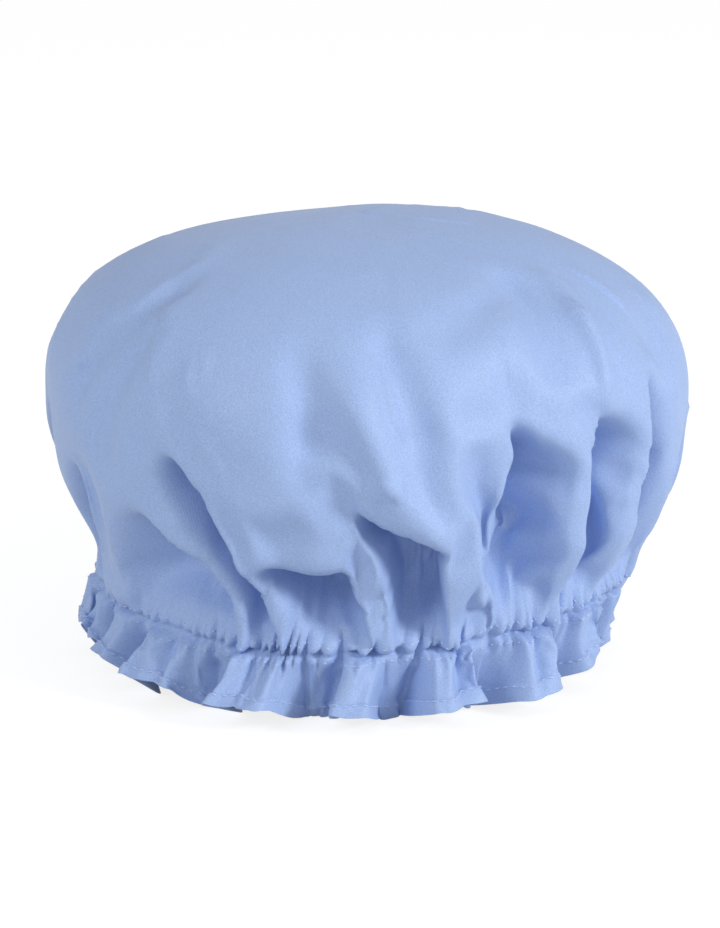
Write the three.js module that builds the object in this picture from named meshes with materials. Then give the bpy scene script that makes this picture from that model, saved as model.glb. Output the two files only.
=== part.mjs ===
// Frilled shower cap: a gathered cloth crown and frill, a waterproof lining, and an elastic band
// that draws them in, running in a casing sewn to the inside.
// Millimetres, +Z up, -Y towards the front. The origin lies on the surface that the frill stands on,
// under the middle of the crown. A bearing is an angle round +Z: 0 at the front, 90 degrees at +X.

import * as THREE from "three";

// Crown
const CROWN_RADIUS = 119;
const CROWN_TOP = 163; // above the surface that the cap stands on
const WIDEST_HEIGHT = 102; // above the same surface
const DOME_SQUARENESS = 2.4; // exponent of the superellipse above the widest ring
const CROWN_SEGMENTS = 56;
const CROWN_WALL_ROWS = 5; // from the casing up to the widest ring
const CROWN_DOME_ROWS = 5; // from the widest ring up to the middle of the top

// Frill
const GATHER_RADIUS = 95; // outside of the cloth where the elastic draws it in
const FRILL_DEPTH = 29; // from the elastic's middle down to the hem
const FRILL_FLARE = 9; // how much wider the hem stands than the gather
const FRILL_WAVE_HEIGHT = 6; // to each side of the flared cone
const FRILL_LOBE_LIFT = 8; // how far the hem of an outward lobe stands off the surface
const FRILL_UNEVENNESS = 0.2; // share by which the waves grow and shrink round the cap
const FRILL_STEPS_PER_WAVE = 6;
const HEM_DEPTH = 8;
// Bearings of the frill's recesses in degrees. A lobe stands out between each two.
const FRILL_RECESSES = [
  8.5, 26.5, 45.5, 63.5, 80, 97, 117, 134, 153, 170, 190, 208, 226, 245, 262, 283, 295.5, 308, 330.5, 350,
];

// Layers and sewing
const CLOTH_THICKNESS = 0.8;
const LINING_THICKNESS = 0.5;
const CASING_THICKNESS = 0.5;
const CASING_WIDTH = 10;
const LINING_LAP = 2; // how far the lining's edge is caught under the casing
const ELASTIC_WIDTH = 6;
const ELASTIC_THICKNESS = 1;
const ELASTIC_LAP = 14; // length over which the ends of the elastic overlap
const THREAD_DIAMETER = 0.5;
const SEAM_INSET = 1; // from the edge of a casing or a hem to its row of stitches
const THREAD_SIDES = 2; // faces on each side of a thread, the outer and the inner
const TACK_ZIGZAGS = 6;
const TACK_LENGTH = 8;
const LAYER_GAP = 0.3; // between any two pieces that lie on each other

// The main folds of the crown, each a valley that starts over the elastic: bearing there and half width
// in degrees, how far the valley leans by its upper end in degrees, its depth and its reach in millimetres.
const CROWN_FOLDS = [
  { name: "left dent", bearing: -40, lean: 0, halfWidth: 18, depth: 14, reach: 50 },
  { name: "long left fold", bearing: -17, lean: -20, halfWidth: 8, depth: 12, reach: 76 },
  { name: "front shelf", bearing: -6, lean: -6, halfWidth: 11, depth: 16, reach: 36 },
  { name: "front hollow", bearing: 9, lean: -4, halfWidth: 11, depth: 18, reach: 52 },
  { name: "tall right fold", bearing: 32, lean: 0, halfWidth: 11, depth: 19, reach: 92 },
  { name: "right fold", bearing: 48, lean: 1, halfWidth: 7, depth: 15, reach: 88 },
  { name: "right side fold", bearing: 64, lean: 0, halfWidth: 10, depth: 14, reach: 90 },
  { name: "left side fold", bearing: -73, lean: 9, halfWidth: 8, depth: 12, reach: 58 },
  { name: "left back fold", bearing: -90, lean: 0, halfWidth: 8, depth: 15, reach: 70 },
  { name: "back fold 1", bearing: 86, lean: -3, halfWidth: 7, depth: 10, reach: 62 },
  { name: "back fold 2", bearing: 104, lean: 0, halfWidth: 11, depth: 16, reach: 52 },
  { name: "back fold 3", bearing: 123, lean: -7, halfWidth: 8, depth: 15, reach: 82 },
  { name: "back fold 4", bearing: 140, lean: 0, halfWidth: 8, depth: 13, reach: 38 },
  { name: "back fold 5", bearing: 156, lean: -6, halfWidth: 8, depth: 11, reach: 84 },
  { name: "back fold 6", bearing: 175, lean: 0, halfWidth: 7, depth: 8, reach: 28 },
  { name: "back fold 7", bearing: 192, lean: -4, halfWidth: 8, depth: 15, reach: 52 },
  { name: "back fold 8", bearing: 212, lean: -2, halfWidth: 7, depth: 14, reach: 48 },
  { name: "back fold 9", bearing: 230, lean: 4, halfWidth: 8, depth: 9, reach: 46 },
  { name: "back fold 10", bearing: 250, lean: 2, halfWidth: 8, depth: 10, reach: 48 },
  { name: "back fold 11", bearing: 264, lean: 0, halfWidth: 7, depth: 7, reach: 54 },
];
const FOLD_HOLD = 0.7; // share of its reach up to which a fold keeps its depth

const DEGREE = Math.PI / 180;
const gatherHeight = FRILL_DEPTH;
const wallHeight = WIDEST_HEIGHT - gatherHeight;
const domeHeight = CROWN_TOP - WIDEST_HEIGHT;
const threadRadius = THREAD_DIAMETER / 2;
const threadStandOff = LAYER_GAP + threadRadius;
const hemSeamDrop = FRILL_DEPTH - HEM_DEPTH + SEAM_INSET;
const casingHalf = CASING_WIDTH / 2;
const plainNeck = casingHalf + SEAM_INSET; // folds and waves start this far above and below the gather
const liningInset = CLOTH_THICKNESS + LAYER_GAP;
const casingTopInset = liningInset + LINING_THICKNESS + LAYER_GAP;

// The elastic lies against the gathered cloth, its ends lap, and the tack and the casing lie inside that.
const elasticOuter = GATHER_RADIUS - CLOTH_THICKNESS - LAYER_GAP;
const lapStep = ELASTIC_THICKNESS + LAYER_GAP;
const lapInner = elasticOuter - lapStep - ELASTIC_THICKNESS;
const tackRadius = lapInner - threadStandOff;
const pocketRadius = tackRadius - threadStandOff;

const cloth = new THREE.MeshStandardMaterial({ color: 0xa2b9ea, roughness: 0.75, metalness: 0 });
const lining = new THREE.MeshStandardMaterial({ color: 0xe9edf2, roughness: 0.45, metalness: 0 });
const elastic = new THREE.MeshStandardMaterial({ color: 0xf2f2ee, roughness: 0.85, metalness: 0 });
const tape = new THREE.MeshStandardMaterial({ color: 0x9db4e4, roughness: 0.8, metalness: 0 });
const thread = new THREE.MeshStandardMaterial({ color: 0xb4c6f0, roughness: 0.6, metalness: 0 });

const smoothstep = THREE.MathUtils.smoothstep;

// Bearings of the columns that the solids are built on: even ones round the crown, and round the frill
// the same number in each wave.
const crownStep = (2 * Math.PI) / CROWN_SEGMENTS;
const crownBearings = Array.from({ length: CROWN_SEGMENTS }, (_, step) => step * crownStep);
const recessAfter = (wave) => FRILL_RECESSES[wave + 1] ?? FRILL_RECESSES[0] + 360;
const frillBearings = FRILL_RECESSES.flatMap((recess, wave) =>
  Array.from({ length: FRILL_STEPS_PER_WAVE }, (_, step) =>
    DEGREE * THREE.MathUtils.lerp(recess, recessAfter(wave), step / FRILL_STEPS_PER_WAVE),
  ),
);

// A point of the crown's section, as radius and height. The level runs from 0 at the elastic over 1 at
// the widest ring to 2 at the top. Below the widest ring the wall is a parabola, above it a superellipse.
// The inset moves the point into the cap, square to the section.
function crownPoint(level, inset) {
  const point = new THREE.Vector2();
  const normal = new THREE.Vector2();
  if (level <= 1) {
    const below = 1 - level;
    const bulge = CROWN_RADIUS - GATHER_RADIUS;
    point.set(CROWN_RADIUS - bulge * below * below, gatherHeight + wallHeight * level);
    normal.set(wallHeight, -2 * bulge * below);
  } else {
    const angle = (level - 1) * (Math.PI / 2);
    const across = Math.max(0, Math.cos(angle)) ** (2 / DOME_SQUARENESS);
    const up = Math.sin(angle) ** (2 / DOME_SQUARENESS);
    const onAxis = level >= 2;
    point.set(onAxis ? 0 : CROWN_RADIUS * across, WIDEST_HEIGHT + domeHeight * up);
    const steepness = DOME_SQUARENESS - 1;
    normal.set(onAxis ? 0 : across ** steepness / CROWN_RADIUS, up ** steepness / domeHeight);
  }
  return point.addScaledVector(normal.normalize(), -inset);
}

// How far the folds draw the crown in at a bearing and a level: each fold is a rounded valley.
function foldInset(bearing, level) {
  const height = crownPoint(level, 0).y - gatherHeight;
  let inset = 0;
  for (const fold of CROWN_FOLDS) {
    const middle = fold.bearing + (fold.lean * height) / fold.reach;
    const away = THREE.MathUtils.euclideanModulo(bearing / DEGREE - middle + 180, 360) - 180;
    const across = Math.max(0, Math.cos(THREE.MathUtils.clamp(away / fold.halfWidth, -1, 1) * (Math.PI / 2)));
    const opening = smoothstep(height, plainNeck, plainNeck + fold.depth);
    const closing = 1 - smoothstep(height, FOLD_HOLD * fold.reach, fold.reach);
    inset += fold.depth * across * across * opening * closing;
  }
  return inset;
}

// The frill's wave at a bearing: -1 in a recess and 1 in the middle of a lobe.
function frillWave(bearing) {
  const first = FRILL_RECESSES[0];
  const degrees = first + THREE.MathUtils.euclideanModulo(bearing / DEGREE - first, 360);
  const wave = FRILL_RECESSES.findLastIndex((recess) => recess <= degrees);
  const share = (degrees - FRILL_RECESSES[wave]) / (recessAfter(wave) - FRILL_RECESSES[wave]);
  return -Math.cos(share * 2 * Math.PI);
}

// A point of the frill's section, as radius and height, at a drop below the elastic. The waves grow from
// nothing under the casing to their full height at the hem, and lobes lift their hem off the surface.
function frillPoint(drop, inset, bearing) {
  const share = drop / FRILL_DEPTH;
  const grown = THREE.MathUtils.clamp((drop - plainNeck) / (FRILL_DEPTH - plainNeck), 0, 1);
  const evenness = 1 + FRILL_UNEVENNESS * Math.sin(3 * bearing + 1);
  const wave = frillWave(bearing);
  const radius = GATHER_RADIUS + FRILL_FLARE * share + FRILL_WAVE_HEIGHT * evenness * grown * wave;
  const height = gatherHeight - drop + FRILL_LOBE_LIFT * evenness * grown * Math.max(0, wave);
  return new THREE.Vector2(radius - inset, height);
}

// A solid round the Z axis from two lists of rows, each row giving radius and height at a bearing. Both
// lists run downwards, the outside one over the other. A section that doesn't start on the axis is closed
// at its top. Outside and inside are split along the same diagonal, so that layers with the same rows lie
// parallel.
function roundSolid(outside, inside, bearings) {
  const rows = [...outside, ...[...inside].reverse()];
  const startsOnAxis = rows[0](0).x === 0;
  const bands = startsOnAxis ? rows.length - 1 : rows.length;
  const positions = [];
  const triangles = [];
  for (const [step, bearing] of bearings.entries()) {
    for (const row of rows) {
      const { x: radius, y: height } = row(bearing);
      positions.push(radius * Math.sin(bearing), -radius * Math.cos(bearing), height);
    }
    const left = step * rows.length;
    const right = ((step + 1) % bearings.length) * rows.length;
    for (let band = 0; band < bands; band++) {
      const next = (band + 1) % rows.length;
      const [a, b, c, d] = [left + band, left + next, right + next, right + band];
      triangles.push(...(band < outside.length ? [a, b, c, a, c, d] : [a, b, d, b, c, d]));
    }
  }
  const geometry = new THREE.BufferGeometry();
  geometry.setAttribute("position", new THREE.Float32BufferAttribute(positions, 3));
  return geometry.setIndex(triangles);
}

// A row of stitches as a ring of thread: a small polygon round a centre that may wander with the bearing.
function threadRing(centre, bearings) {
  const corner = (turn) => (bearing) =>
    centre(bearing).add(new THREE.Vector2(Math.cos(turn), Math.sin(turn)).multiplyScalar(threadRadius));
  const outside = [];
  const inside = [];
  for (let side = 0; side < THREAD_SIDES; side++) {
    const turn = Math.PI / 2 - ((side + 0.5) / THREAD_SIDES) * Math.PI;
    outside.push(corner(turn));
    inside.push(corner(Math.PI - turn));
  }
  return roundSolid(outside, inside, bearings);
}

// A dome-shaped skin between two insets of the crown's folded surface, from the top down to its lower edge.
function crownSkin(lowestLevel, outerInset, innerInset) {
  const neckLevel = plainNeck / wallHeight;
  const levels = [];
  for (let row = 0; row < CROWN_DOME_ROWS; row++) levels.push(2 - row / CROWN_DOME_ROWS);
  for (let row = 0; row <= CROWN_WALL_ROWS; row++) {
    levels.push(THREE.MathUtils.lerp(1, neckLevel, row / CROWN_WALL_ROWS));
  }
  levels.push(lowestLevel);
  const rowAt = (level, inset) => (bearing) => crownPoint(level, inset + foldInset(bearing, level));
  const outside = levels.map((level) => rowAt(level, outerInset));
  const inside = levels.map((level) => rowAt(level, innerInset));
  return roundSolid(outside, inside, crownBearings);
}

function crownCloth() {
  return crownSkin(0, 0, CLOTH_THICKNESS);
}

function waterproofLining() {
  const lowestLevel = (casingHalf - LINING_LAP) / wallHeight;
  return crownSkin(lowestLevel, liningInset, liningInset + LINING_THICKNESS);
}

// The frill's cloth from under the crown down to the hem, where it is turned up inside and lies double.
function frillCloth() {
  const foldedTop = FRILL_DEPTH - HEM_DEPTH;
  const rowAt = (drop, inset) => (bearing) => frillPoint(drop, inset, bearing);
  const outside = [LAYER_GAP, plainNeck, foldedTop, hemSeamDrop, FRILL_DEPTH].map((drop) => rowAt(drop, 0));
  const inside = [
    ...[LAYER_GAP, plainNeck, foldedTop - CLOTH_THICKNESS].map((drop) => rowAt(drop, CLOTH_THICKNESS)),
    ...[foldedTop, FRILL_DEPTH].map((drop) => rowAt(drop, 2 * CLOTH_THICKNESS)),
  ];
  return roundSolid(outside, inside, frillBearings);
}

// The casing is a tape bulged over the elastic, sewn to the crown at its upper edge and to the frill at its
// lower one.
function elasticCasing() {
  const upperLevel = casingHalf / wallHeight;
  const pocketHalf = ELASTIC_WIDTH / 2 + LAYER_GAP;
  const side = (inset) => {
    const points = [
      crownPoint(upperLevel, casingTopInset + inset),
      new THREE.Vector2(pocketRadius - inset, gatherHeight + pocketHalf),
      new THREE.Vector2(pocketRadius - inset, gatherHeight - pocketHalf),
      frillPoint(casingHalf, CLOTH_THICKNESS + LAYER_GAP + inset, 0),
    ];
    return points.map((point) => () => point);
  };
  return roundSolid(side(0), side(CASING_THICKNESS), crownBearings);
}

// The elastic is a flat strip on edge: one turn and a lap, with its inner end stepped in behind the other.
function elasticBand() {
  const lapAngle = ELASTIC_LAP / elasticOuter;
  const start = Math.PI / 2 - lapAngle / 2;
  const end = start + 2 * Math.PI + lapAngle;
  const radiusAt = (angle) => elasticOuter - lapStep * smoothstep(angle, end - 2 * lapAngle, end - lapAngle);
  const steps = CROWN_SEGMENTS + 4;
  const edge = (inset) => {
    const points = [];
    for (let step = 0; step <= steps; step++) {
      const angle = THREE.MathUtils.lerp(start, end, step / steps);
      const radius = radiusAt(angle) - inset;
      points.push(new THREE.Vector2(radius * Math.cos(angle), radius * Math.sin(angle)));
    }
    return points;
  };
  const plan = new THREE.Shape([...edge(0), ...edge(ELASTIC_THICKNESS).reverse()]);
  const geometry = new THREE.ExtrudeGeometry(plan, { depth: ELASTIC_WIDTH, bevelEnabled: false });
  return geometry.translate(0, 0, gatherHeight - ELASTIC_WIDTH / 2);
}

// The zigzag of thread that joins the lapped ends of the elastic, at the back of the cap.
function elasticTack() {
  const reach = ELASTIC_WIDTH / 2 - SEAM_INSET;
  const points = [];
  for (let zig = 0; zig <= TACK_ZIGZAGS; zig++) {
    const along = TACK_LENGTH * (zig / TACK_ZIGZAGS - 0.5);
    const angle = Math.PI / 2 + along / tackRadius;
    const height = gatherHeight + (zig % 2 ? reach : -reach);
    points.push(new THREE.Vector3(tackRadius * Math.cos(angle), tackRadius * Math.sin(angle), height));
  }
  const path = new THREE.CatmullRomCurve3(points, false, "centripetal");
  const section = new THREE.Shape().absarc(0, 0, threadRadius, 0, 2 * Math.PI);
  const options = { steps: 4 * TACK_ZIGZAGS, curveSegments: 3, bevelEnabled: false, extrudePath: path };
  return new THREE.ExtrudeGeometry(section, options);
}

function upperCasingSeam() {
  const level = (casingHalf - SEAM_INSET) / wallHeight;
  return threadRing(() => crownPoint(level, -threadStandOff), crownBearings);
}

function lowerCasingSeam() {
  return threadRing(() => frillPoint(casingHalf - SEAM_INSET, -threadStandOff, 0), crownBearings);
}

function hemSeam() {
  return threadRing((bearing) => frillPoint(hemSeamDrop, -threadStandOff, bearing), frillBearings);
}

const cap = new THREE.Group();
function addPiece(name, geometry, material) {
  const mesh = new THREE.Mesh(geometry, material.clone());
  mesh.name = name;
  cap.add(mesh);
}

addPiece("crown_cloth", crownCloth(), cloth);
addPiece("frill_cloth", frillCloth(), cloth);
addPiece("waterproof_lining", waterproofLining(), lining);
addPiece("elastic_band", elasticBand(), elastic);
addPiece("elastic_join_tack", elasticTack(), thread);
addPiece("elastic_casing", elasticCasing(), tape);
addPiece("upper_casing_seam", upperCasingSeam(), thread);
addPiece("lower_casing_seam", lowerCasingSeam(), thread);
addPiece("hem_seam", hemSeam(), thread);

export default cap;
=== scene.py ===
"""Dressed model of a frilled shower cap: outer cloth, lining, elastic, casing and sewing.

Metres, +Z up, -Y towards the front. A bearing is an angle round +Z: 0 at the front, 90 degrees at +X.
A row of the cloth is given by its distance from the elastic, measured along the cloth: up over the crown,
or down the frill, where it is called the drop.
"""

import math
from typing import NamedTuple

import bpy
import numpy as np
from bpy.props import FloatProperty, FloatVectorProperty, IntProperty, PointerProperty
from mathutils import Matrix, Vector


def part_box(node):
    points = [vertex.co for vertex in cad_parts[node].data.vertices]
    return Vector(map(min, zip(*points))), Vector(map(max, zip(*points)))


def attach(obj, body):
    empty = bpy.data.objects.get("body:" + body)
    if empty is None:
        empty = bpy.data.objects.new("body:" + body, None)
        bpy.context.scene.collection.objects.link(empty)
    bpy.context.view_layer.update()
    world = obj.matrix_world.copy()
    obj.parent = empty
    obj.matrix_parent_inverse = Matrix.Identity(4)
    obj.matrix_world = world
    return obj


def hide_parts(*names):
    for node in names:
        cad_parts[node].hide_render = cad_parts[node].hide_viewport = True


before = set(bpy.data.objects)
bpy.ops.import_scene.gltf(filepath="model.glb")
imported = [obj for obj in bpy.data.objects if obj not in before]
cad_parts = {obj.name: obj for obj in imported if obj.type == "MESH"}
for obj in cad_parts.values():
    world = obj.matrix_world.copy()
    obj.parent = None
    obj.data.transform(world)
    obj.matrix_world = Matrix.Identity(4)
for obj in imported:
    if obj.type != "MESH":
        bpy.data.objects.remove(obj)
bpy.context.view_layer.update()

bl_info = {
    "name": "Frilled Shower Cap",
    "version": (1, 0, 0),
    "blender": (4, 5, 0),
    "location": "3D View > Sidebar > Shower Cap",
    "description": "Builds a gathered cloth shower cap with its lining, elastic and sewing",
    "category": "Add Mesh",
}

MM = 0.001
BODY = "root"
CROWN_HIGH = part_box("crown_cloth")[1]
ELASTIC_LOW, ELASTIC_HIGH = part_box("elastic_band")
ELASTIC_WIDTH = ELASTIC_HIGH.z - ELASTIC_LOW.z
ELASTIC_THICKNESS = 1.0 * MM
ELASTIC_RIBS = 7
ELASTIC_LAP = 14 * MM
ELASTIC_LAP_STEP = 1.3 * MM
CASING_GAP = 0.35 * MM  # least room between the elastic and the cloth
CASING_COVER = 6.5 * MM  # that room is kept this far from the elastic's middle
CASING_COVER_END = 3 * MM  # and fades over this length
CASING_WIDTH = 10 * MM
CASING_INNER = 90 * MM  # radius
CASING_SEAM = 4 * MM  # from the elastic's middle to each row of stitches
TAPE_RUCHES = 96
TAPE_INSET = 2.4 * MM  # from the cloth's radius in to the tape's lower edge
TAPE_FLARE = 1.2 * MM  # how much less that is at its upper edge
LINING_INSET = 2.2 * MM  # from the deepest folds in to the lining, and how much more near the elastic
LINING_INSET_LOW = 1.5 * MM
LINING_CRINKLE = 0.25 * MM
HEM_STEP = 0.6 * MM  # the doubled hem over the single cloth
HEM_FOLD = 0.5 * MM  # between the hem's two layers
HEM_SEAM = 0.9 * MM  # from the hem's upper edge down to its stitches
HEM_ROWS = (-0.35, 0.35, 1.6, 3.2, 4.8, 6.2, 7.0)  # millimetres below the hem's upper edge

SEED = 11
COLUMNS = 1080  # vertices round the outer cloth near the elastic, thinned by halves up the crown
HALF_ABOVE = 62 * MM
QUARTER_ABOVE = 140 * MM
CROWN_ROWS = (21, 36, 30)  # rows near the elastic, up the wall and over the top
LINING_ROWS = (14, 26, 20)
LINING_COLUMNS = 320
TAPE_COLUMNS = 600
CELL_LENGTH = 4 * MM  # of the cells in which the lining keeps clear of the cloth
CELL_COUNT = 180

SETTLE_COLUMNS = 480  # vertices round the cloth while it settles
SETTLE_ROWS = (9, 26, 24)
SETTLE_FRAMES = 16
SETTLE_SCALE = 10.0  # the solver's distances suit a sheet of metres
RING_FULLNESS = 1.65  # length of the settling cloth round the elastic, over that of the ring
FRILL_FULLNESS = 1.9  # the same for the frill under the elastic and at the hem
HEM_FULLNESS = 2.2
WALL_SLACK = 1.08  # length of the settling cloth up the crown's wall, over that of the plain section
FULLNESS_END = 0.1  # metres up the crown at which the fullness has gone
LEAST_FALL = 0.0025  # least square of the cut shape's fall, over that of the cloth's length
TOP_HOLD = (0.09, 0.06)  # metres up the crown from which the top is held, and over which the hold grows
HOLD_FAST = 2.7 * MM  # cloth as near as this to the elastic is held fast
CROWN_HOLD = 0.03  # hold weights of the crown and the frill
FRILL_HOLD = 0.45
EVENING = 0.6  # share by which the settled cloth is averaged with its neighbours

MM_PER_DEGREE = 1.95  # round the crown, for the strokes
ROLL_CIRCLES = (3 * MM, 7 * MM)  # circles on which the folds' depth is compared
FOLD_ROLL = 0.35  # how far the edges of the folds roll over them
FOLD_START = 0.1  # share of a fold's rise that it has at the elastic
SHARP_EDGE = 2.2  # width in degrees of a made-up fold's sharp edge
SOFT_EDGE = 0.75  # width of its soft edge, as a share of the fold
FOLD_CLOSE = 0.55  # share of itself by which it narrows towards its upper end
GATHER_SPAN = 6.5  # millimetres from the elastic over which the small gathers die away
CROWN_GATHERS = (4, 9)  # millimetres from the elastic at which pairs and fours of them stand highest
FRILL_GATHERS = (8, 14)
SHOULDER_SPAN = 5  # millimetres from the elastic at which the cloth bulges most
ROOM_GAIN = 24 * MM  # how much deeper than a straight wall a fold may go, from 3 to 24 mm above the elastic
TOP_ROOM = 30 * MM  # the same over the top
SLOW_WAVES = 0.9 * MM  # heights of the slow and the small waves of the crown
SMALL_WAVES = 0.14 * MM
LEAST_TURN = 30 * MM  # radius used for turning lengths into bearings near the top
LOBE_START = 0.04  # where a lobe begins, how soon it stands and where it ends, as shares of its pitch
LOBE_RISE = 0.12
LOBE_END = 0.79
LOBE_LAP = 0.28  # share of the pitch over which its sharp edge laps
SIDE_LOSS = 0.6  # share of their reach that lobes lose at the sides of the cap
HEM_TOUCH = 1.2 * MM  # softness with which the laid-out hem meets the floor
CREASE_EDGE = 1.2  # width in millimetres of a crease's sharp side

WORLD_STRENGTH = 0.52
FLOOR_HALF = 15  # metres
FLOOR_GLOW = 0.83  # the floor as the camera sees it: a glow, and a grey that takes the shadow
FLOOR_GREY = 0.28
LAMPS = {  # place, size and power
    "key": ((1.4, -0.85, 0.75), 0.4, 17),
    "fill": ((-1.2, -1.1, 0.9), 0.6, 8),
}
LAMP_TARGET = (0, 0, 0.08)
CAMERA_LENS = 156.4
CAMERA_DISTANCE = 1.5
CAMERA_ELEVATION = 14.5  # degrees
CAMERA_TARGET = (0.0008, 0, 0.0706)


class Fold(NamedTuple):
    """A tuck of the crown's cloth. Its two edges are bearings in degrees at distances up from the elastic in
    millimetres. Each edge has the width in degrees over which the cloth falls to the full depth, and the
    upper end has its distance from the elastic at bearing 0, its slope in millimetres a degree and its width.
    The foot is the height above the elastic at which the fold has its full depth.
    """

    at: tuple
    left: tuple
    right: tuple
    left_width: float
    right_width: float
    top: float
    top_slope: float
    top_width: float
    depth: float
    foot: float


class Stroke(NamedTuple):
    """A soft ridge, or a dent where its height is negative, along a straight line on the crown's cloth.
    Its ends are a bearing in degrees and a distance up from the elastic in millimetres."""

    start: tuple
    end: tuple
    width: float
    height: float


class Lobe(NamedTuple):
    """A lobe of the frill: how far it stands out, as a share of the lobes' reach, the side of its sharp
    edge, which is -1 at the left or 1 at the right, and how far its hem is lifted, in millimetres."""

    size: float
    side: int
    lift: float


FRONT_FOLDS = {
    "left dent": Fold(
        (0, 20, 35, 50), (-60, -58, -56, -53), (-25, -27, -31, -41), 20, 5, 57, 0, 14, 31, 9
    ),
    "long left fold": Fold(
        (0, 10, 20, 35, 50, 62, 75),
        (-24, -25.5, -28, -31.5, -36, -40, -41),
        (-14, -18.5, -22, -26, -28, -30, -36),
        6.5, 2.2, 77, 0, 9, 27, 12,
    ),
    "front shelf": Fold(
        (0, 15, 25, 33), (-9, -16, -22, -27), (4, 0, -3, -6), 11, 2.4, 35, 0, 4.5, 33, 10
    ),
    "front hollow": Fold(
        (0, 19, 32, 41, 49, 56),
        (7, 4, 1, -1, -3.5, -4.5),
        (17.5, 16, 15, 14, 12.5, 12),
        2.0, 3.0, 54, -0.67, 5.5, 31, 8,
    ),
    "front tuck": Fold((0, 16), (19, 19), (29.5, 28), 5, 1.4, 17, 0, 6, 5, 8),
    "tall right fold": Fold(
        (0, 20, 40, 57, 67, 80, 90),
        (29, 27.5, 26.5, 26.3, 27.3, 28.3, 27),
        (46, 44, 43, 43, 43, 42, 40),
        2.0, 15, 134, -1.45, 13, 36, 12,
    ),
    "right fold": Fold(
        (0, 16, 34, 50, 62, 72, 82),
        (45, 42.5, 41.8, 41.8, 42.2, 42.6, 45),
        (61, 58, 56, 56, 57, 58, 57),
        2.0, 12, 88, 0, 13, 30, 14,
    ),
    "right side fold": Fold(
        (0, 20, 37, 50, 61, 78, 88),
        (60, 58, 55.5, 54.5, 56, 57.5, 58.5),
        (80, 78, 76, 75, 76, 74, 71),
        2.2, 16, 97, 0, 15, 25, 16,
    ),
}

FRONT_STROKES = {
    "ridge beside the left dent": Stroke((-38, 47), (-27, 8), 4, 1.2),
    "roll over the shelf": Stroke((-24, 39), (-9, 39), 5, 2.0),
    "ridge under the shelf": Stroke((-22, 30), (-8, 4), 4.5, 1.0),
    "corner beside the hollow": Stroke((-6, 51), (-2, 36), 5, 1.5),
    "roll over the hollow": Stroke((-2, 59), (12, 50), 5, 2.2),
    "end of that roll": Stroke((12, 50), (22, 58), 6, 1.4),
    "dent over the shelf": Stroke((-19, 46), (-7, 60), 8, -2.4),
    "slack over the hollow": Stroke((5, 74), (18, 86), 15, -3.0),
    "swell in the tall fold": Stroke((33, 32), (35, 16), 7, 6.0),
    "toe of the tall fold": Stroke((31, 2), (33, 10), 4, -3.0),
    "ridge in the right fold": Stroke((44, 36), (51, 50), 4, 3.0),
    "swell by the right fold": Stroke((52, 69), (52, 78), 6, 2.5),
    "hollow under the shelf": Stroke((-17, 26), (-10, 8), 7, -7.0),
    "roll over the frill at the left": Stroke((-64, 9), (-46, 7), 6, 2.5),
    "valley left of the middle": Stroke((-11, 110), (-10, 85), 8, -3.4),
    "lower end of that valley": Stroke((-10, 85), (-18, 45), 8, -3.4),
    "ridge in the middle": Stroke((-2, 100), (3, 70), 6, 2.4),
    "valley beside that ridge": Stroke((5, 121), (9.5, 88), 8, -4.0),
    "valley at the upper right": Stroke((36, 148), (18, 126), 9, -2.6),
    "crease at the right": Stroke((56, 145), (49, 122), 4.2, 3.2),
    "lower end of that crease": Stroke((49, 122), (47, 90), 4.2, 3.2),
    "valley before that crease": Stroke((44, 150), (38, 108), 9, -4.2),
    "ridge at the right side": Stroke((80, 112), (72, 91), 6, 2.4),
    "facet at the left": Stroke((-63, 92), (-52, 138), 7, -4.0),
    "second facet at the left": Stroke((-55, 73), (-49, 117), 8, -4.0),
}

# Small sharp creases, as strokes. Their soft side is the left one, seen from start to end.
FRONT_CREASES = {
    "mark over the hollow": Stroke((1, 70.5), (5.5, 64.5), 4, 2.2),
    "edge of the right facet": Stroke((52, 138), (45.5, 90), 7, 1.8),
    "edge at the upper right": Stroke((69, 150), (67, 115), 6, 1.6),
    "edge at the right side": Stroke((66, 106), (57, 90), 5, 1.6),
    "short edge at the upper right": Stroke((24, 142), (39, 154), 6, 1.2),
    "edge left of the middle": Stroke((-51, 138), (-41, 94), 9, 1.6),
    "edge at the left": Stroke((-67, 94), (-56, 111), 5, 1.6),
    "edge at the upper left": Stroke((-56, 118), (-50, 139), 5, 1.4),
    "short edge at the left": Stroke((-35.5, 102.5), (-29, 109), 4, 1.4),
    "edge in the middle": Stroke((3, 112), (6.5, 84), 5, 1.4),
}
CREASE_COUNT = 60  # more of them, made up all over the crown

BACK_FOLD_COUNT = 12
BACK_FOLD_FROM = 79.0
BACK_FOLD_TO = 292.0

# How far the elastic's line lies above its mean height: bearing in degrees, rise in millimetres.
GATHER_RISE = (
    (0, -1.2), (17, -0.6), (30, 0.4), (45, 2.4), (57, 3.6), (72, 4), (95, 3), (135, 1), (180, 0),
    (230, 0), (265, 1), (285, 2.4), (301, 0.5), (322, -2.2), (345, -2.4),
)

# How strongly the small gathers run up the crown: bearing in degrees, share.
GATHER_RUN = (
    (0, 0.8), (9, 1.1), (22, 0.5), (40, 0.5), (60, 0.6), (90, 0.9), (150, 0.8), (200, 1), (250, 0.8),
    (280, 0.15), (320, 0.1), (331, 0.5), (345, 0.6),
)

# Bearings of the frill's recesses, between its lobes.
FRILL_RECESSES = (
    8.5, 26.6, 45.5, 63.5, 80, 97, 117, 134, 153, 170,
    190, 208, 226, 245, 262, 283, 295.5, 308, 330.5, 355.5,
)

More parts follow.
